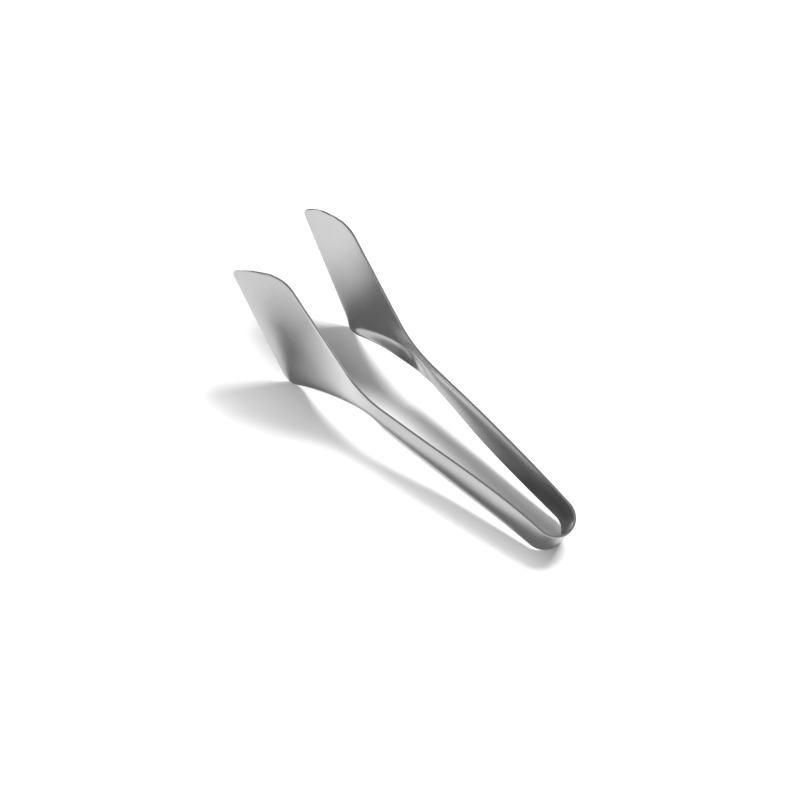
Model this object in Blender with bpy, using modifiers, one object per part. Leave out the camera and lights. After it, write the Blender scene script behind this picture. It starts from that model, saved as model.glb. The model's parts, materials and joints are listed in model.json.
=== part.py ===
"""Sprung paddle tongs bent from one strip of sheet steel.

The tongs lie as they rest on a table: on the foot of the bow and the two
heels of the paddles. +X points to the bow, +Y from the left arm to the right
arm, +Z up. Shapes are laid out in the tongs' own plane, where Z runs along
the axis the bow is bent about, and are then tipped until bow and heels stand level.
"""
import math

import bpy
import numpy as np
from mathutils import Matrix

SHEET = 0.0013          # thickness of the sheet
EDGE_BREAK = 0.00025    # polished-off corner of every cut edge
GAP = 0.0003            # parting between neighbouring nodes

BOW_RADIUS = 0.0112     # outside radius of the bow
BOW_HEIGHT = 0.0240     # width of the strip around the bow
ARM_SLOPE = 0.043       # how far the arms open out where they leave the bow

NECK_X = -0.1250        # where arm and paddle edges would meet in a point
NECK_TOP_Z = 0.0066
NECK_FILLET = 0.015     # run of the rounded inside corner, each way
WAIST_X = -0.0741       # lower edge of the arm at its lowest
WAIST_Z = -0.0071
HEEL = (-0.1618, -0.0449)
TIP_FRONT = (-0.2147, 0.0208)
TIP_BACK = (-0.1873, 0.0550)
HEEL_ROUND = 0.0030
FRONT_ROUND = 0.0035
BACK_ROUND = 0.0100
TIP_CROWN = 0.0022      # how far the tip edge bows out between its corners

PADDLE_Y = 0.02424      # mid-sheet of the paddle at its heel
PADDLE_TOE = -0.0759    # opening of the paddle's plane along the tongs
PADDLE_LEAN = -0.0352   # and across them
ARM_BULGE = 0.0013      # outward bow of the arm's cross-section
PADDLE_BULGE = 0.0019   # of the paddle's
TIP_BULGE = 0.0010      # and of its tip
CURL = 0.0022           # inward curl of the lower edge between neck and heel
CURL_WIDTH = 0.0080     # height of the curled strip

ARM_STEPS = 30
PADDLE_STEPS = 44
CROSS_STEPS = 12
BOW_STEPS = 28

STEEL = (0.62, 0.62, 0.63, 1.0)


def hermite(t, z0, z1, m0, m1):
    """Cubic from z0 to z1 over t in 0..1 with end slopes per unit t."""
    a, b = t * t * (3 - 2 * t), t * (1 - t)
    return z0 * (1 - a) + z1 * a + b * (1 - t) * m0 - b * t * m1


def stretch(x, x0, x1, z0, z1, s0, s1):
    """Cubic over x0..x1 with slopes s0 and s1 per metre of x."""
    run = x1 - x0
    return hermite((x - x0) / run, z0, z1, s0 * run, s1 * run)


ARM_START = -BOW_RADIUS + (BOW_RADIUS - SHEET / 2) * math.sin(math.atan(ARM_SLOPE))
ARM_END = NECK_X + NECK_FILLET * 0.95


def top_edge(x):
    return stretch(x, -BOW_RADIUS, NECK_X, BOW_HEIGHT, NECK_TOP_Z, -0.034, 0.168)


def low_edge(x):
    if x > WAIST_X:
        return stretch(x, -BOW_RADIUS, WAIST_X, 0.0, WAIST_Z, 0.094, 0.02)
    mid = -0.1114
    if x > mid:
        return stretch(x, WAIST_X, mid, WAIST_Z, -0.0075, 0.02, -0.052)
    return stretch(x, mid, HEEL[0], -0.0075, HEEL[1], -0.052, 1.32)


def along(points, shares):
    """Points at shares 0..1 of a polyline's length, and that length."""
    p = np.array(points, float)
    run = np.concatenate([[0], np.cumsum(np.linalg.norm(np.diff(p, axis=0), axis=1))])
    at = np.array(shares) * run[-1]
    return np.column_stack([np.interp(at, run, p[:, k]) for k in (0, 1)]), run[-1]


def rounded(a, corner, b, radius, steps=12):
    """Arc of a radius between the lines a-corner and corner-b."""
    a, c, b = (np.array(p, float) for p in (a, corner, b))
    u, w = (a - c) / np.linalg.norm(a - c), (b - c) / np.linalg.norm(b - c)
    half = math.acos(max(-1, min(1, float(u @ w)))) / 2
    reach = radius / math.tan(half)
    centre = c + (u + w) / np.linalg.norm(u + w) * radius / math.sin(half)
    start, stop = c + u * reach - centre, c + w * reach - centre
    turn = math.pi - 2 * half
    return [tuple(centre + (start * math.sin(turn * (1 - t)) + stop * math.sin(turn * t))
                  / math.sin(turn)) for t in np.linspace(0, 1, steps)]


def lower_path():
    """Lower edge of the paddle: neck, heel, then up the front to the tip."""
    run = [(x, low_edge(x)) for x in np.linspace(ARM_END, HEEL[0], 60)]
    arc = rounded(run[-8], HEEL, TIP_FRONT, HEEL_ROUND)
    keep = [p for p in run if p[0] > arc[0][0] + 1e-5]
    return keep + arc + [TIP_FRONT]


def upper_path():
    """Upper edge of the paddle: rounded inside corner, then the straight back."""
    p0 = np.array((ARM_END, top_edge(ARM_END)))
    p1 = np.array((NECK_X, NECK_TOP_Z))
    back = np.array(TIP_BACK) - p1
    p2 = p1 + back / np.linalg.norm(back) * NECK_FILLET
    bend = [tuple(p0 * (1 - t) ** 2 + 2 * p1 * t * (1 - t) + p2 * t * t)
            for t in np.linspace(0, 1, 24)]
    return bend + [TIP_BACK]


def corner_inset(distance, radius):
    """How far a rounded corner draws in at a distance from the tip."""
    if distance >= radius:
        return 0.0
    return radius - math.sqrt(max(0.0, radius ** 2 - (radius - distance) ** 2))


def smooth(t):
    t = min(1.0, max(0.0, t))
    return t * t * (3 - 2 * t)


def swell(run):
    """Outward bulge of the cross-section: none at the bow, most in the paddle, less at its tip."""
    arm = ARM_BULGE * smooth(run / 0.30)
    paddle = (PADDLE_BULGE - ARM_BULGE) * smooth((run - 0.90) / 0.35)
    return arm + paddle - (PADDLE_BULGE - TIP_BULGE) * smooth((run - 1.45) / 0.55)


def sheet_y(x, z, share, run, width):
    """Mid-sheet distance from the middle plane.

    share is the place across the strip, 0 low to 1 high, and width the strip's
    width there; run is 0 at the bow and grows to 1 at the neck and 2 at the tip.
    """
    plane = PADDLE_Y + PADDLE_TOE * (x - HEEL[0]) + PADDLE_LEAN * (z - HEEL[1])
    neck = PADDLE_Y + PADDLE_TOE * (ARM_END - HEEL[0])
    neck += PADDLE_LEAN * (top_edge(ARM_END) / 2 - 0.0047 - HEEL[1])
    start = (BOW_RADIUS - SHEET / 2) * math.cos(math.atan(ARM_SLOPE))
    arm = stretch(min(x, ARM_START), ARM_START, ARM_END, start, neck, -ARM_SLOPE, PADDLE_TOE)
    blend = smooth((run - 0.55) / 0.45)
    base = plane * blend + arm * (1 - blend)
    base += swell(run) * (1 - (2 * share - 1) ** 2)
    curl = smooth((run - 0.93) / 0.20) * smooth((1.46 - run) / 0.16)
    return base - CURL * curl * max(0.0, 1 - share * width / CURL_WIDTH) ** 2


def crown(share, run):
    """How far a point of a row stands toward the tip."""
    return TIP_CROWN * 4 * share * (1 - share) * smooth((run - 1.5) / 0.5)


def arm_rows():
    xs = np.linspace(ARM_START - GAP, ARM_END + GAP / 2, ARM_STEPS + 1)
    rows = []
    for x in xs:
        run = (x - ARM_START) / (ARM_END - ARM_START)
        ends = np.array((x, low_edge(x))), np.array((x, top_edge(x)))
        rows.append((ends, run))
    return rows


def paddle_rows():
    low, high = lower_path(), upper_path()
    t = np.linspace(0, 1, PADDLE_STEPS + 1)
    t = 1 - (1 - t) ** 1.35
    t = t * (1 - GAP / 0.09) + GAP / 0.09 * (1 - t)[0] * (1 - t)
    low_at, low_len = along(low, t)
    high_at, high_len = along(high, t)
    rows = []
    for k, share in enumerate(t):
        a, b = low_at[k], high_at[k]
        across = (b - a) / np.linalg.norm(b - a)
        a = a + across * corner_inset(low_len * (1 - share), FRONT_ROUND)
        b = b - across * corner_inset(high_len * (1 - share), BACK_ROUND)
        rows.append(((a, b), 1 + share))
    return rows


def steel(name):
    mat = bpy.data.materials.new(name)
    mat.use_nodes = True
    shader = mat.node_tree.nodes["Principled BSDF"]
    shader.inputs["Base Color"].default_value = STEEL
    shader.inputs["Metallic"].default_value = 1.0
    shader.inputs["Roughness"].default_value = 0.24
    return mat


def finish(obj, collection, name, thicken=True):
    collection.objects.link(obj)
    obj.data.materials.append(steel(name + "_steel"))
    if thicken:
        solid = obj.modifiers.new("sheet", "SOLIDIFY")
        solid.thickness = SHEET
        solid.offset = 0.0
        solid.use_even_offset = True
    bevel = obj.modifiers.new("broken_edge", "BEVEL")
    bevel.width = EDGE_BREAK
    bevel.segments = 1
    bevel.limit_method = "ANGLE"
    bevel.angle_limit = math.radians(55)
    return obj


def strip(name, rows, side, collection, origin):
    """A solid strip lofted over rows of cross-sections on one side."""
    verts, faces = [], []
    for (a, b), run in rows:
        width = np.linalg.norm(b - a)
        outward = np.array((a[1] - b[1], b[0] - a[0])) / width
        for share in np.linspace(0, 1, CROSS_STEPS + 1) ** (1.4 if run > 1 else 1.0):
            x, z = a + (b - a) * share + outward * crown(share, run)
            y = side * sheet_y(x, z, share, run, width)
            verts.append((x - origin[0], y - origin[1], z - origin[2]))
    wide = CROSS_STEPS + 1
    for i in range(len(rows) - 1):
        for j in range(CROSS_STEPS):
            k = i * wide + j
            quad = (k, k + 1, k + wide + 1, k + wide)
            faces.append(quad if side > 0 else quad[::-1])
    mesh = bpy.data.meshes.new(name)
    mesh.from_pydata(verts, [], faces)
    mesh.shade_smooth()
    return finish(bpy.data.objects.new(name, mesh), collection, name)


def spring_bow(collection):
    """The U-bend: an upright line swept round the bend axis."""
    turn = math.pi - 2 * math.atan(ARM_SLOPE)
    radius = BOW_RADIUS - SHEET / 2
    mesh = bpy.data.meshes.new("spring_bow")
    steps = 4
    line = [(radius * math.cos(turn / 2), -radius * math.sin(turn / 2), BOW_HEIGHT * k / steps)
            for k in range(steps + 1)]
    mesh.from_pydata(line, [(k, k + 1) for k in range(steps)], [])
    obj = bpy.data.objects.new("spring_bow", mesh)
    screw = obj.modifiers.new("bend", "SCREW")
    screw.angle = turn
    screw.steps = screw.render_steps = BOW_STEPS
    screw.axis = "Z"
    screw.use_smooth_shade = True
    return finish(obj, collection, "spring_bow")


def main():
    for old in list(bpy.data.objects):
        bpy.data.objects.remove(old, do_unlink=True)
    group = bpy.data.collections.new("paddle_tongs")
    bpy.context.scene.collection.children.link(group)
    bow = spring_bow(group)
    bow.location.x = -BOW_RADIUS
    carriers = [bow]
    for side, hand in ((-1, "left"), (1, "right")):
        axis = flex_axis(hand, side, group)
        strip(f"{hand}_arm", arm_rows(), side, group, axis.location).parent = axis
        strip(f"{hand}_blade", paddle_rows(), side, group, axis.location).parent = axis
        carriers.append(axis)
    stand(group, carriers)


def flex_axis(hand, side, group):
    """Empty on the line an arm bends about, where it leaves the bow."""
    axis = bpy.data.objects.new(f"{hand}_flex_axis", None)
    group.objects.link(axis)
    y = (BOW_RADIUS - SHEET / 2) * math.cos(math.atan(ARM_SLOPE))
    axis.location = (ARM_START - GAP / 2, side * y, BOW_HEIGHT / 2)
    return axis


def corners(group):
    """Every finished corner of each object, as it lies in the tongs' plane."""
    bpy.context.view_layer.update()
    graph = bpy.context.evaluated_depsgraph_get()
    out = {}
    for obj in [o for o in group.objects if o.type == "MESH"]:
        shown = obj.evaluated_get(graph)
        out[obj.name] = np.array([shown.matrix_world @ v.co for v in shown.data.vertices])
    return out


def stand(group, carriers):
    """Tip the tongs onto bow and heels, and centre the footprint on the origin."""
    spots = corners(group)
    bow, heel = spots["spring_bow"], spots["left_blade"]

    def lowest(points, angle):
        return float((points[:, 2] * math.cos(angle) - points[:, 0] * math.sin(angle)).min())

    low, high = 0.0, math.radians(40)
    for _ in range(50):
        angle = (low + high) / 2
        if lowest(heel, angle) < lowest(bow, angle):
            low = angle
        else:
            high = angle
    tip = Matrix.Rotation(angle, 4, "Y")
    turned = np.vstack(list(spots.values())) @ np.array(tip.to_3x3()).T
    least, most = turned.min(axis=0), turned.max(axis=0)
    move = Matrix.Translation((-(least[0] + most[0]) / 2, 0, -least[2])) @ tip
    for obj in carriers:
        obj.matrix_world = move @ obj.matrix_world


main()
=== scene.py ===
"""Sprung paddle tongs of satin steel on a pale floor.

The strip is laid out in the tongs' own plane, where Z runs along the axis the
bow is bent about, and is then tipped into the row frame, where the tongs lie
on the foot of the bow and the two heels.
"""
import json
import math

import bpy
import numpy as np
from mathutils import Matrix, Vector


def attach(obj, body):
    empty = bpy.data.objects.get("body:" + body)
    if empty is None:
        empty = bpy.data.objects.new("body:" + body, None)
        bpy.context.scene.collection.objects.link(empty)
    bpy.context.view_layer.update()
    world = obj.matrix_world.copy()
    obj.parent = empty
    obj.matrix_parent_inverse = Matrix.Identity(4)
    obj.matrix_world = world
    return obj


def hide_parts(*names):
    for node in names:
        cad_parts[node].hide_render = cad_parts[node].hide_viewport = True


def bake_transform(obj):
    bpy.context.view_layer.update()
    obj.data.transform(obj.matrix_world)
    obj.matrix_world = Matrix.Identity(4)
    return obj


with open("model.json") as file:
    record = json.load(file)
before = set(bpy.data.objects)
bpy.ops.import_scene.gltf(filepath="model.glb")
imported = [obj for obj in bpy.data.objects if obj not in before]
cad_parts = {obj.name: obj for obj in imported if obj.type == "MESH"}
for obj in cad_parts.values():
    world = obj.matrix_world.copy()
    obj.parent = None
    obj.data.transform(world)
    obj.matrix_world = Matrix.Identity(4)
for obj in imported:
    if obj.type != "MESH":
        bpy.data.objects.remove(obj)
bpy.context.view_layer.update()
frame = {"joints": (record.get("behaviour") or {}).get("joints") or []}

# --- the strip, in metres; its hollows and curls are a little deeper than the CAD model's ---
SHEET = 0.0013          # thickness of the sheet
GAP = 0.0003            # parting between the CAD model's nodes
BOW_RADIUS = 0.0112     # outside radius of the bow
BOW_HEIGHT = 0.0240     # width of the strip around the bow
ARM_SLOPE = 0.043       # how far the arms open out where they leave the bow
NECK_X = -0.1250        # where arm and paddle edges would meet in a point
NECK_TOP_Z = 0.0066
TOP_SLOPES = (-0.034, 0.168)                # of the arm's top edge, at bow and neck
NECK_FILLET = 0.015     # run of the rounded inside corner, each way
FILLET_SHARE = 0.95     # how much of it belongs to the paddle
NECK_DROP = 0.0047      # middle of the neck, below half its top edge
WAIST_X = -0.0741       # a point of the arm's lower edge, about two thirds along
WAIST_Z = -0.0071
FLARE_X = -0.1114       # another, shortly before the edge turns down to the heel
FLARE_Z = -0.0075
LOW_SLOPES = (0.094, 0.02, -0.052, 1.32)    # of the lower edge, at bow, waist, flare and heel
HEEL = (-0.1618, -0.0449)
TIP_FRONT = (-0.21467, 0.0208)
TIP_BACK = (-0.1873, 0.0550)
HEEL_ROUND = 0.0033
FRONT_ROUND = 0.0035
BACK_ROUND = 0.0100
TIP_CROWN = 0.00215     # how far the tip edge bows out between its corners
PADDLE_Y = 0.02423      # mid-sheet of the paddle at its heel
PADDLE_TOE = -0.0759    # opening of the paddle's plane along the tongs
PADDLE_LEAN = -0.0352   # and across them
ARM_BULGE = 0.0015      # outward bulge of the arm's cross-section
PADDLE_BULGE = 0.0022   # of the paddle's
TIP_BULGE = 0.0007      # and of its tip
ARM_SKEW = 0.12         # how much fuller the arm's bulge is low down
PADDLE_SKEW = 0.4       # and the paddle's
CURL = 0.0030           # inward curl of the lower edge between neck and heel
CURL_WIDTH = 0.0088     # height of the curled strip
CURL_POWER = 1.5        # how much the curl tightens towards the edge
NUDGE = 0.000032        # shift along X that keeps the tips inside the CAD's box

# --- where the strip changes, as start and length in "run": 0 bow, 1 neck, 2 tip ---
TO_PLANE = (0.55, 0.45)         # the arm's curve turns into the paddle's plane
ARM_SWELL = (-0.10, 0.40)       # the arm's bulge grows
PADDLE_SWELL = (0.90, 0.35)     # the paddle's bulge grows
TIP_FLATTEN = (1.30, 0.60)      # it fades towards the tip
ARM_LEAN = (0.0, 0.25)          # the arm's bulge becomes fuller low down
TIP_CROWNING = (1.5, 0.5)       # the rows take on the tip edge's crown
CURL_START = (0.93, 0.20)       # the lower edge curls in
CURL_STOP, CURL_FADE = 1.50, 0.14       # and is straight again
BOW_EDGES = (0.45, 0.55)        # the bow's edges turn into the arm's, as shares of half the bow
BOW_LOW_SHARE = 0.9             # how far its lower edge gets to the arm's

# --- how finely it is drawn ---
EDGE_ROUND = 0.00045    # rounded corner of the sheet's cut edges
EDGE_STEPS = (0.0, 0.00002, 0.00007, 0.00015, 0.00028, 0.00045)
BOW_ROWS = 48
ARM_ROWS = 90
PADDLE_ROWS = 96
FACE_COLUMNS = 34
TIP_CROWDING = 1.25     # rows lie closer together towards the tip
TIP_CLEAR = 0.0003      # share of the paddle kept free before the rows of the tip's rounding
LOWER_STEPS = 240
HEEL_REACH = 29         # steps of the lower edge that lead into the rounded heel
UPPER_STEPS = 80

# --- the steel ---
LINES = ((30, 2600, 1), 1.0, 3)     # stretch, size and detail of the fine lines
CLOUD = ((1, 1, 1), 60, 3)          # of the cloudy polish
ROLL = ((0.5, 1, 1), 75, 1)         # of the faint roll left in the sheet
ROLL_DEPTH = 0.00002
NOISE_SPAN = (0.3, 0.7)             # the part of a noise's range that is put to use

# --- the stage ---
AZIMUTH = 42.587        # degrees, of the camera
ELEVATION = 60.0
CAMERA_TARGET = (-0.00926, -0.00343, 0.02696)
CAMERA_DISTANCE = 0.9324
LENS, SENSOR = 81.0, 36.0
KEY_TOWARD = (0.04872, 0.43854, 1.0)    # direction of the lamp, seen from the origin
KEY_DISTANCE = 1.6
KEY_SIZE = (0.50, 0.42)
KEY_WATTS = 28.5
SKY = 0.28              # strength of the even sky
FLOOR_HALF, FLOOR_CELLS = 3.0, 24
FLOOR_Z, MIRROR_Z = -0.0003, -0.0002
FLOOR_TINT = 0.82
# painted light on the seen floor: it glows, and the more so the farther from the tongs, which
# lightens their shadows away from them
FLOOR_PAINTED_LIGHT = 0.02             # painted light: glow of the seen floor under the tongs
PAINTED_LIGHT_RISE = 8.6         # its rise per metre away from them, at the paddles
PAINTED_LIGHT_RISE_BOW = 22.0    # and at the bow
PAINTED_LIGHT_CHANGE = (-0.05, 0.09)     # between these places along X
PAINTED_LIGHT_END = 0.12         # along X the glow rises only beyond this distance from the middle
MIRROR_TINT = 0.8
MIRROR_PAINTED_SHADE = 0.10      # painted shade: tint of the dark strip that the arms' insides mirror
DARK_BEGIN, DARK_END = (0.0, 0.065), (0.085, 0.095)     # its soft ends, along X
DARK_SIDE = (0.001, 0.009)      # its soft side, away from the middle plane
MIRROR_PAINTED_LIGHT = 0.36     # painted light: glow of the patch that the near paddle's back mirrors
PATCH_BEGIN, PATCH_END = (-0.082, -0.058), (-0.040, -0.020)     # its soft ends, along X
PATCH_SIDE = (-0.044, -0.032)   # its soft side towards the tongs, along Y

BOW_MID = BOW_RADIUS - SHEET / 2
SLOPE_ANGLE = math.atan(ARM_SLOPE)
ARM_START = -BOW_RADIUS + BOW_MID * math.sin(SLOPE_ANGLE)
ARM_END = NECK_X + NECK_FILLET * FILLET_SHARE


def smooth(t):
    """Soft step from 0 to 1."""
    t = min(1.0, max(0.0, t))
    return t * t * (3 - 2 * t)


def ease(place, start, length):
    """Soft step from 0 to 1 that begins at start and takes a length."""
    return smooth((place - start) / length)


def hermite(t, z0, z1, m0, m1):
    """Cubic from z0 to z1 over t in 0..1 with end slopes per unit t."""
    a, b = t * t * (3 - 2 * t), t * (1 - t)
    return z0 * (1 - a) + z1 * a + b * (1 - t) * m0 - b * t * m1


def stretch(x, x0, x1, z0, z1, s0, s1):
    """Cubic over x0..x1 with slopes s0 and s1 per metre of x."""
    run = x1 - x0
    return hermite((x - x0) / run, z0, z1, s0 * run, s1 * run)


def top_edge(x):
    """Height of the arm's top edge."""
    return stretch(x, -BOW_RADIUS, NECK_X, BOW_HEIGHT, NECK_TOP_Z, *TOP_SLOPES)


def low_edge(x):
    """Height of the lower edge, from the bow to the heel."""
    if x > WAIST_X:
        return stretch(x, -BOW_RADIUS, WAIST_X, 0.0, WAIST_Z, *LOW_SLOPES[:2])
    if x > FLARE_X:
        return stretch(x, WAIST_X, FLARE_X, WAIST_Z, FLARE_Z, *LOW_SLOPES[1:3])
    return stretch(x, FLARE_X, HEEL[0], FLARE_Z, HEEL[1], *LOW_SLOPES[2:])


def along(points, shares):
    """Points at shares 0..1 of a polyline's length, and that length."""
    p = np.array(points, float)
    run = np.concatenate([[0], np.cumsum(np.linalg.norm(np.diff(p, axis=0), axis=1))])
    at = np.array(shares) * run[-1]
    return np.column_stack([np.interp(at, run, p[:, k]) for k in (0, 1)]), run[-1]


def rounded(a, corner, b, radius, steps=40):
    """Arc of a radius between the lines a-corner and corner-b."""
    a, c, b = (np.array(p, float) for p in (a, corner, b))
    u, w = (a - c) / np.linalg.norm(a - c), (b - c) / np.linalg.norm(b - c)
    half = math.acos(max(-1, min(1, float(u @ w)))) / 2
    reach = radius / math.tan(half)
    centre = c + (u + w) / np.linalg.norm(u + w) * radius / math.sin(half)
    start, stop = c + u * reach - centre, c + w * reach - centre
    turn = math.pi - 2 * half
    return [tuple(centre + (start * math.sin(turn * (1 - t)) + stop * math.sin(turn * t))
                  / math.sin(turn)) for t in np.linspace(0, 1, steps)]


def lower_path():
    """Lower edge of the paddle: neck, heel, then up the front to the tip."""
    run = [(x, low_edge(x)) for x in np.linspace(ARM_END, HEEL[0], LOWER_STEPS)]
    arc = rounded(run[-HEEL_REACH], HEEL, TIP_FRONT, HEEL_ROUND)
    keep = [p for p in run if p[0] > arc[0][0] + 1e-5]
    return keep + arc + [TIP_FRONT]


def upper_path():
    """Upper edge of the paddle: rounded inside corner, then the straight back."""
    p0 = np.array((ARM_END, top_edge(ARM_END)))
    p1 = np.array((NECK_X, NECK_TOP_Z))
    back = np.array(TIP_BACK) - p1
    p2 = p1 + back / np.linalg.norm(back) * NECK_FILLET
    bend = [tuple(p0 * (1 - t) ** 2 + 2 * p1 * t * (1 - t) + p2 * t * t)
            for t in np.linspace(0, 1, UPPER_STEPS)]
    return bend + [TIP_BACK]


def corner_inset(distance, radius):
    """How far a rounded corner draws in at a distance from the tip."""
    if distance >= radius:
        return 0.0
    return radius - math.sqrt(max(0.0, radius ** 2 - (radius - distance) ** 2))


def sheet_y(x, z, share, run, width):
    """Mid-sheet distance from the middle plane, without the bulge.

    share is the place across the strip, 0 low to 1 high, and width the strip's
    width there.
    """
    plane = PADDLE_Y + PADDLE_TOE * (x - HEEL[0]) + PADDLE_LEAN * (z - HEEL[1])
    neck = PADDLE_Y + PADDLE_TOE * (ARM_END - HEEL[0])
    neck += PADDLE_LEAN * (top_edge(ARM_END) / 2 - NECK_DROP - HEEL[1])
    start = BOW_MID * math.cos(SLOPE_ANGLE)
    arm = stretch(min(x, ARM_START), ARM_START, ARM_END, start, neck, -ARM_SLOPE, PADDLE_TOE)
    blend = ease(run, *TO_PLANE)
    base = plane * blend + arm * (1 - blend)
    curl = ease(run, *CURL_START) * smooth((CURL_STOP - run) / CURL_FADE)
    return base - CURL * curl * max(0.0, 1 - share * width / CURL_WIDTH) ** CURL_POWER


def swell(run):
    """Outward bulge of the cross-section: none at the bow, most in the paddle, less at its tip."""
    arm = ARM_BULGE * ease(run, *ARM_SWELL)
    paddle = (PADDLE_BULGE - ARM_BULGE) * ease(run, *PADDLE_SWELL)
    return arm + paddle - (PADDLE_BULGE - TIP_BULGE) * ease(run, *TIP_FLATTEN)


def columns(width):
    """Places across a strip of a width, close together along both cut edges."""
    edge = np.array(EDGE_STEPS) / width
    inner = np.linspace(edge[-1], 1 - edge[-1], FACE_COLUMNS + 1)[1:-1]
    return np.concatenate([edge, inner, (1 - edge)[::-1]])


def bow_row(share):
    """Mid-sheet points across the bow, share 0 at its crown and 1 at the arm."""
    angle = share * (math.pi / 2 - SLOPE_ANGLE)
    near_arm = ease(share, *BOW_EDGES)
    low = low_edge(ARM_START) * near_arm * BOW_LOW_SHARE
    high = BOW_HEIGHT + (top_edge(ARM_START) - BOW_HEIGHT) * near_arm
    across = columns(high - low)
    run = (share - 1) * BOW_MID * math.pi / 2 / (ARM_START - ARM_END)
    radius = BOW_MID + swell(run) * (1 - (2 * across - 1) ** 2)
    return np.column_stack([radius * math.cos(angle) - BOW_RADIUS, radius * math.sin(angle),
                            low + (high - low) * across])


def flat_row(a, b, run):
    """Mid-sheet points across the arm or paddle between two edge points."""
    width = np.linalg.norm(b - a)
    across = columns(width)
    outward = np.array((a[1] - b[1], b[0] - a[0])) / width
    bow_out = TIP_CROWN * 4 * across * (1 - across) * ease(run, *TIP_CROWNING)
    spots = a + np.outer(across, b - a) + np.outer(bow_out, outward)
    lean = ARM_SKEW * ease(run, *ARM_LEAN) + (PADDLE_SKEW - ARM_SKEW) * ease(run, *PADDLE_SWELL)
    skew = 1 + lean * (1 - 2 * across)
    bulge = swell(run) * skew * (1 - (2 * across - 1) ** 2)
    y = [sheet_y(x, z, s, run, width) for (x, z), s in zip(spots, across)]
    return np.column_stack([spots[:, 0], np.array(y) + bulge, spots[:, 1]])


def strip_rows():
    """All rows of mid-sheet points, from the bow's crown to the tip."""
    rows = [bow_row(s) for s in np.linspace(0, 1, BOW_ROWS + 1)]
    for x in np.linspace(ARM_START, ARM_END, ARM_ROWS + 1)[1:]:
        run = (x - ARM_START) / (ARM_END - ARM_START)
        rows.append(flat_row(np.array((x, low_edge(x))), np.array((x, top_edge(x))), run))
    low, high = lower_path(), upper_path()
    t = 1 - (1 - np.linspace(0, 1, PADDLE_ROWS + 1)) ** TIP_CROWDING
    low_len, high_len = along(low, [0])[1], along(high, [0])[1]
    fine = 1 - np.array(EDGE_STEPS[::-1]) / high_len
    t = np.concatenate([t[t < fine[0] - TIP_CLEAR], fine])
    low_at, high_at = along(low, t)[0], along(high, t)[0]
    for k, share in enumerate(t[1:], 1):
        a, b = low_at[k], high_at[k]
        unit = (b - a) / np.linalg.norm(b - a)
        a = a + unit * corner_inset(low_len * (1 - share), FRONT_ROUND)
        b = b - unit * corner_inset(high_len * (1 - share), BACK_ROUND)
        rows.append(flat_row(a, b, 1 + share))
    return np.array(rows)


def along_rows(mid):
    """Distance of every grid point from the lower end of its row."""
    step = np.linalg.norm(np.diff(mid, axis=1), axis=2)
    return np.concatenate([np.zeros((len(mid), 1)), np.cumsum(step, axis=1)], axis=1)


def edge_distance(mid):
    """Distance of every grid point from the strip's outline, measured on the flat."""
    across = along_rows(mid)
    out = np.minimum(across, across[:, -1:] - across)
    flat = mid[BOW_ROWS + ARM_ROWS:, :, ::2]
    outline = np.concatenate([flat[:, 0], flat[-1, 1:-1], flat[::-1, -1]])
    p, d = outline[:-1], np.diff(outline, axis=0)
    size = np.maximum((d ** 2).sum(1), 1e-18)
    for i, row in enumerate(flat):
        for j, spot in enumerate(row):
            t = np.clip(((spot - p) * d).sum(1) / size, 0, 1)
            nearest = ((p + d * t[:, None] - spot) ** 2).sum(1).min()
            out[BOW_ROWS + ARM_ROWS + i, j] = np.sqrt(nearest)
    return out


def sheet_loops(mid):
    """Closed loops round the sheet at every row: outer face low to high, inner face back."""
    n = np.cross(np.gradient(mid, axis=1), np.gradient(mid, axis=0))
    n /= np.linalg.norm(n, axis=2)[:, :, None]
    if n[0, 0, 0] < 0:
        n = -n
    inward = np.clip(EDGE_ROUND - edge_distance(mid), 0, EDGE_ROUND)
    half = SHEET / 2 - EDGE_ROUND + np.sqrt(EDGE_ROUND ** 2 - inward ** 2)
    n *= half[:, :, None]
    return np.concatenate([mid + n, (mid - n)[:, ::-1]], axis=1)


def strip_marks(mid):
    """Distance along the strip and across it, and which face, for every loop point."""
    centre = mid[:, mid.shape[1] // 2]
    run = np.concatenate([[0], np.cumsum(np.linalg.norm(np.diff(centre, axis=0), axis=1))])
    across = along_rows(mid)
    across -= across[:, -1:] / 2
    face = np.ones_like(across)
    marks = np.stack([np.broadcast_to(run[:, None], across.shape), across, face], axis=2)
    return np.concatenate([marks, (marks * (1, 1, -1))[:, ::-1]], axis=1)


def joint_named(name):
    """A joint of the frame file."""
    return next(j for j in frame["joints"] if j["name"] == name)


def row_frame():
    """Matrix from the tongs' own plane to the row frame, read off the flex joint."""
    joint = joint_named("right_flex")
    tilt = math.atan2(joint["axis"][0], joint["axis"][2])
    turn = Matrix.Rotation(tilt, 4, "Y")
    local = Vector((ARM_START - GAP / 2, joint["pos_m"][1], BOW_HEIGHT / 2))
    nudge = Vector((NUDGE, 0, 0))
    return Matrix.Translation(Vector(joint["pos_m"]) + nudge - turn @ local) @ turn


def whole_strip():
    """Grid of loop points from the left tip to the right tip, in the row frame, and its marks."""
    mid = strip_rows()
    half, marks = sheet_loops(mid), strip_marks(mid)
    points = np.concatenate([(half * (1, -1, 1))[:0:-1], half])
    marks = np.concatenate([(marks * (-1, 1, 1))[:0:-1], marks])
    place = np.array(row_frame())
    return points @ place[:3, :3].T + place[:3, 3], marks


def loop_faces(rows, wide):
    """Quads round every pair of neighbouring rows."""
    faces = []
    for i in range(rows - 1):
        for k in range(wide):
            m = (k + 1) % wide
            a, b = i * wide, (i + 1) * wide
            faces.append((a + k, a + m, b + m, b + k))
    return faces


def cap(start, wide, flip):
    """Quads closing one end row between its outer and inner points."""
    half = wide // 2
    out = []
    for k in range(half - 1):
        quad = (start + k, start + k + 1, start + wide - 2 - k, start + wide - 1 - k)
        out.append(quad[::-1] if flip else quad)
    return out


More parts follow.
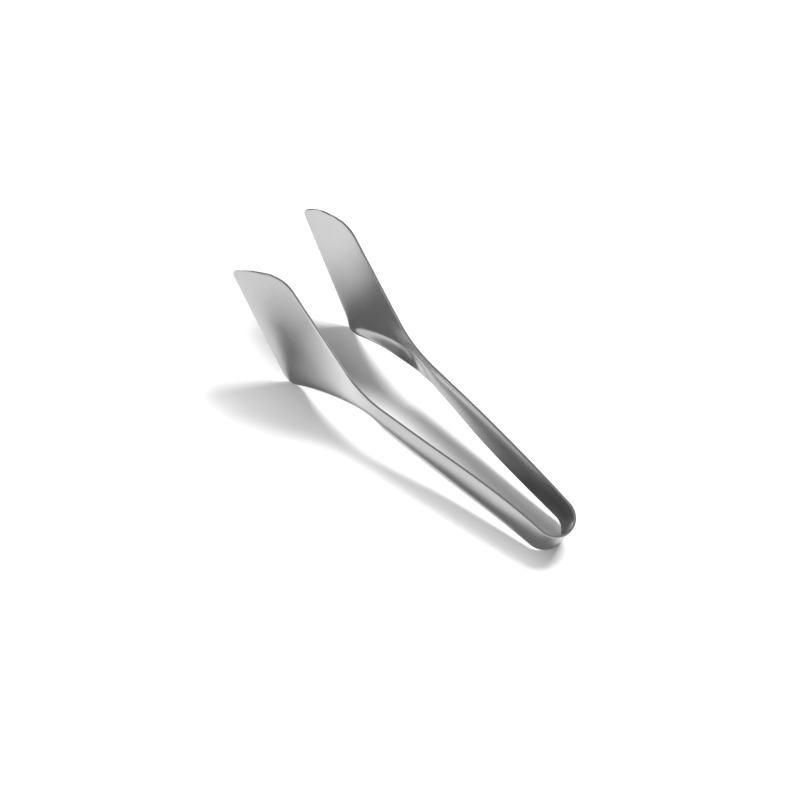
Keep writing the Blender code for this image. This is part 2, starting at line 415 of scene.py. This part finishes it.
def grid_mesh(name, grid, marks):
    """Closed mesh over a grid of loops, marked with the places along and across the strip."""
    rows, wide = grid.shape[:2]
    mesh = bpy.data.meshes.new(name)
    faces = loop_faces(rows, wide)
    faces += cap(0, wide, False) + cap((rows - 1) * wide, wide, True)
    mesh.from_pydata(grid.reshape(-1, 3).tolist(), [], faces)
    mesh.shade_smooth()
    mark = mesh.attributes.new("strip", "FLOAT_VECTOR", "POINT")
    mark.data.foreach_set("vector", marks.reshape(-1).astype(np.float32))
    return mesh


def smooth_normals(grid, marks):
    """Vertex normals of the strip taken as one body, so that its pieces meet without a seam."""
    mesh = grid_mesh("whole", grid, marks)
    out = np.zeros(len(mesh.vertices) * 3, np.float32)
    mesh.vertex_normals.foreach_get("vector", out)
    bpy.data.meshes.remove(mesh)
    return out.reshape(grid.shape)


def piece(name, node, body, rows, grid, normals, marks, rim, face):
    """One stretch of the strip, with the normals of the whole."""
    first, last = rows
    part = grid[first:last + 1]
    mesh = grid_mesh(name, part, marks[first:last + 1])
    wide = grid.shape[1]
    inner_rows = (last - first) * wide
    shade = normals[first:last + 1].reshape(-1, 3)
    # points of the end rows, except where the end is a tip of the strip
    cut = {row * wide + k for row in (0, last - first) for k in range(wide)
           if first + row not in (0, len(grid) - 1)}
    sharp = mesh.attributes.new("sharp_edge", "BOOLEAN", "EDGE")
    for edge in mesh.edges:
        sharp.data[edge.index].value = all(v in cut for v in edge.vertices)
    # the strip's normals run on across each cut, and only the faces that close it have their own
    corner = np.zeros(len(mesh.loops), np.int32)
    mesh.loops.foreach_get("vertex_index", corner)
    loops = shade[corner].copy()
    for p in mesh.polygons:
        if p.index >= inner_rows and all(v in cut for v in p.vertices):
            for k in p.loop_indices:
                loops[k] = p.normal
    mesh.normals_split_custom_set(loops.tolist())
    mesh.materials.append(face)
    mesh.materials.append(rim)
    half, turn = wide // 2, len(EDGE_STEPS) - 2
    for p in mesh.polygons:
        k = p.index % wide
        low_rim = k < turn or k >= wide - turn - 1
        high_rim = half - turn <= k + 1 < half + turn
        if p.index >= inner_rows or low_rim or high_rim:
            p.material_index = 1
    obj = bpy.data.objects.new(name, mesh)
    bpy.context.scene.collection.objects.link(obj)
    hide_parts(node)
    if body:
        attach(obj, body)
    return obj


def node(tree, kind, **values):
    """A shader node with sockets and settings filled in."""
    made = tree.nodes.new("ShaderNode" + kind)
    for key, value in values.items():
        if key in made.inputs:
            made.inputs[key].default_value = value
        else:
            setattr(made, key, value)
    return made


def stretched_noise(tree, scale, size, detail):
    """Noise drawn out along the strip, read from the strip's own marks."""
    mark = node(tree, "Attribute", attribute_name="strip")
    fit = node(tree, "Mapping", Scale=scale)
    noise = node(tree, "TexNoise", Scale=size, Detail=detail, Roughness=0.55)
    tree.links.new(mark.outputs["Vector"], fit.inputs["Vector"])
    tree.links.new(fit.outputs["Vector"], noise.inputs["Vector"])
    return noise.outputs["Fac"]


def ramp(tree, source, start, stop, low, high):
    """A value that runs from low to high while the source runs from start to stop."""
    out = node(tree, "MapRange")
    for socket, value in zip(out.inputs[1:5], (start, stop, low, high)):
        socket.default_value = value
    tree.links.new(source, out.inputs["Value"])
    return out.outputs[0]


def maths(tree, operation, *sources):
    """Output of a maths node fed with sockets or plain numbers."""
    out = node(tree, "Math", operation=operation)
    for source, socket in zip(sources, out.inputs):
        if isinstance(source, float):
            socket.default_value = source
        else:
            tree.links.new(source, socket)
    return out.outputs[0]


def bump(tree, source, depth, before=None):
    """Normal output of a bump node, on top of another one if given."""
    out = node(tree, "Bump", Strength=1.0, Distance=depth)
    tree.links.new(source, out.inputs["Height"])
    if before is not None:
        tree.links.new(before, out.inputs["Normal"])
    return out.outputs["Normal"]


def steel(name, dark, light, rough, spread, grain):
    """Satin steel: fine lines along the strip, cloudy polish and a faint roll of the sheet.

    dark and light are the tones the lines vary between, rough the least roughness,
    spread what lines and polish each add to it, and grain the depth of the lines.
    """
    mat = bpy.data.materials.new(name)
    mat.use_nodes = True
    tree = mat.node_tree
    shader = tree.nodes["Principled BSDF"]
    shader.inputs["Metallic"].default_value = 1.0
    lines = stretched_noise(tree, *LINES)
    cloud = stretched_noise(tree, *CLOUD)
    roll = stretched_noise(tree, *ROLL)
    mix = node(tree, "Mix", data_type="RGBA")
    mix.inputs["A"].default_value = (*dark, 1)
    mix.inputs["B"].default_value = (*light, 1)
    tree.links.new(ramp(tree, lines, *NOISE_SPAN, 0, 1), mix.inputs["Factor"])
    tree.links.new(mix.outputs["Result"], shader.inputs["Base Color"])
    sheen = maths(tree, "ADD", ramp(tree, cloud, *NOISE_SPAN, rough, rough + spread),
                  ramp(tree, lines, *NOISE_SPAN, 0.0, spread))
    tree.links.new(sheen, shader.inputs["Roughness"])
    wave = bump(tree, roll, ROLL_DEPTH)
    tree.links.new(bump(tree, lines, grain, wave), shader.inputs["Normal"])
    return mat


def sheet_of_floor(name, height, tint):
    """One wide flat sheet under the tongs, with a plain matt finish."""
    half, cells = FLOOR_HALF, FLOOR_CELLS
    verts = [(-half + 2 * half * i / cells, -half + 2 * half * j / cells, height)
             for j in range(cells + 1) for i in range(cells + 1)]
    wide = cells + 1
    faces = [(j * wide + i, j * wide + i + 1, (j + 1) * wide + i + 1, (j + 1) * wide + i)
             for j in range(cells) for i in range(cells)]
    mesh = bpy.data.meshes.new(name)
    mesh.from_pydata(verts, [], faces)
    obj = bpy.data.objects.new(name, mesh)
    bpy.context.scene.collection.objects.link(obj)
    mat = bpy.data.materials.new(name)
    mat.use_nodes = True
    shader = mat.node_tree.nodes["Principled BSDF"]
    shader.inputs["Base Color"].default_value = (tint, tint, tint, 1)
    shader.inputs["Roughness"].default_value = 0.9
    shader.inputs["Specular IOR Level"].default_value = 0.1
    mesh.materials.append(mat)
    return obj


def place_on(tree):
    """Position along the tongs and across them."""
    place, split = node(tree, "NewGeometry"), node(tree, "SeparateXYZ")
    tree.links.new(place.outputs["Position"], split.inputs[0])
    return split.outputs["X"], split.outputs["Y"]


def floor():
    """The pale floor that is seen, with painted light that glows the more the farther it is from
    the tongs, and the one that the steel mirrors.
    """
    shown = sheet_of_floor("floor", FLOOR_Z, FLOOR_TINT)
    shown.visible_glossy = False
    tree = shown.data.materials[0].node_tree
    shader = tree.nodes["Principled BSDF"]
    x, y = place_on(tree)
    # painted light: the seen floor's glow grows with distance from the tongs
    beyond = maths(tree, "SUBTRACT", maths(tree, "ABSOLUTE", x), PAINTED_LIGHT_END)
    apart = maths(tree, "MAXIMUM", beyond, maths(tree, "ABSOLUTE", y))
    rise = ramp(tree, x, *PAINTED_LIGHT_CHANGE, PAINTED_LIGHT_RISE, PAINTED_LIGHT_RISE_BOW)
    shader.inputs["Emission Color"].default_value = (1, 1, 1, 1)
    glow = maths(tree, "MULTIPLY_ADD", apart, rise, FLOOR_PAINTED_LIGHT)
    tree.links.new(glow, shader.inputs["Emission Strength"])
    mirrored = sheet_of_floor("mirrored_floor", MIRROR_Z, MIRROR_TINT)
    mirrored.visible_camera = mirrored.visible_diffuse = mirrored.visible_shadow = False
    mirrored.visible_transmission = mirrored.visible_volume_scatter = False
    shade_mirror(mirrored.data.materials[0].node_tree)


def shade_mirror(tree):
    """Painted shade in a dark strip under the arms, and painted light in a glowing patch beside
    the near paddle's back, both seen only in the steel's reflections.
    """
    shader = tree.nodes["Principled BSDF"]
    x, y = place_on(tree)
    # painted shade: the floor that the steel mirrors is darker in a strip under the arms, so that
    # their insides look darker
    least = maths(tree, "MAXIMUM", ramp(tree, x, *DARK_BEGIN, MIRROR_TINT, MIRROR_PAINTED_SHADE),
                  ramp(tree, x, *DARK_END, MIRROR_PAINTED_SHADE, MIRROR_TINT))
    shade = ramp(tree, maths(tree, "ABSOLUTE", y), *DARK_SIDE, MIRROR_PAINTED_SHADE, MIRROR_TINT)
    tree.links.new(least, shade.node.inputs["To Min"])
    tree.links.new(shade, shader.inputs["Base Color"])
    # painted light: a glowing patch beside the near paddle, which lightens the reflection in its
    # back
    patch = maths(tree, "MULTIPLY", ramp(tree, x, *PATCH_BEGIN, 0.0, MIRROR_PAINTED_LIGHT),
                  ramp(tree, x, *PATCH_END, 1.0, 0.0))
    patch = maths(tree, "MULTIPLY", patch, ramp(tree, y, *PATCH_SIDE, 1.0, 0.0))
    shader.inputs["Emission Color"].default_value = (1, 1, 1, 1)
    tree.links.new(patch, shader.inputs["Emission Strength"])


def soft_light(name, toward, distance, size, watts):
    """A rectangular lamp facing the origin, its long side level with the image."""
    lamp = bpy.data.lights.new(name, "AREA")
    lamp.shape = "RECTANGLE"
    lamp.size, lamp.size_y = size
    lamp.energy = watts
    obj = bpy.data.objects.new(name, lamp)
    direction = Vector(toward).normalized()
    azimuth = math.radians(AZIMUTH)
    across = Vector((math.cos(azimuth), math.sin(azimuth), 0))
    across = (across - direction * across.dot(direction)).normalized()
    obj.matrix_world = Matrix.Translation(direction * distance) @ Matrix(
        (across, direction.cross(across), direction)).transposed().to_4x4()
    bpy.context.scene.collection.objects.link(obj)
    return obj


def studio():
    """A low even sky and one soft key that the steel doesn't mirror."""
    world = bpy.data.worlds.new("studio")
    bpy.context.scene.world = world
    world.use_nodes = True
    back = world.node_tree.nodes["Background"]
    back.inputs["Color"].default_value = (1, 1, 1, 1)
    back.inputs["Strength"].default_value = SKY
    key = soft_light("key", KEY_TOWARD, KEY_DISTANCE, KEY_SIZE, KEY_WATTS)
    key.visible_glossy = False
    bpy.context.scene.view_settings.view_transform = "Standard"


def camera():
    """The camera, from the bow's side and above."""
    azimuth, elevation = math.radians(AZIMUTH), math.radians(ELEVATION)
    back = Vector((math.sin(azimuth) * math.cos(elevation),
                   -math.cos(azimuth) * math.cos(elevation), math.sin(elevation)))
    lens = bpy.data.cameras.new("camera")
    lens.lens, lens.sensor_width = LENS, SENSOR
    lens.clip_start, lens.clip_end = 0.05, 20.0
    obj = bpy.data.objects.new("camera", lens)
    obj.location = Vector(CAMERA_TARGET) + back * CAMERA_DISTANCE
    obj.rotation_mode = "QUATERNION"
    obj.rotation_quaternion = back.to_track_quat("Z", "Y")
    bpy.context.scene.collection.objects.link(obj)
    bpy.context.scene.camera = obj


def tongs():
    """The five pieces, cut from one strip."""
    grid, marks = whole_strip()
    normals = smooth_normals(grid, marks)
    face = steel("satin_steel", dark=(0.56, 0.56, 0.566), light=(0.64, 0.64, 0.646),
                 rough=0.15, spread=0.06, grain=0.000002)
    rim = steel("polished_edge", dark=(0.62, 0.62, 0.625), light=(0.68, 0.68, 0.685),
                rough=0.12, spread=0.04, grain=0.000001)
    crown = len(grid) // 2
    bow, neck = BOW_ROWS, BOW_ROWS + ARM_ROWS
    piece("bow", "spring_bow", "bow", (crown - bow, crown + bow), grid, normals, marks, rim, face)
    for side, hand in ((-1, "left"), (1, "right")):
        arm = sorted((crown + side * bow, crown + side * neck))
        blade = sorted((crown + side * neck, crown + side * crown))
        obj = piece(hand + "_arm_strip", hand + "_arm", None, arm, grid, normals, marks, rim, face)
        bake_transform(obj)
        piece(hand + "_paddle", hand + "_blade", hand + "_side", blade, grid, normals, marks,
              rim, face)


tongs()
floor()
studio()
camera()
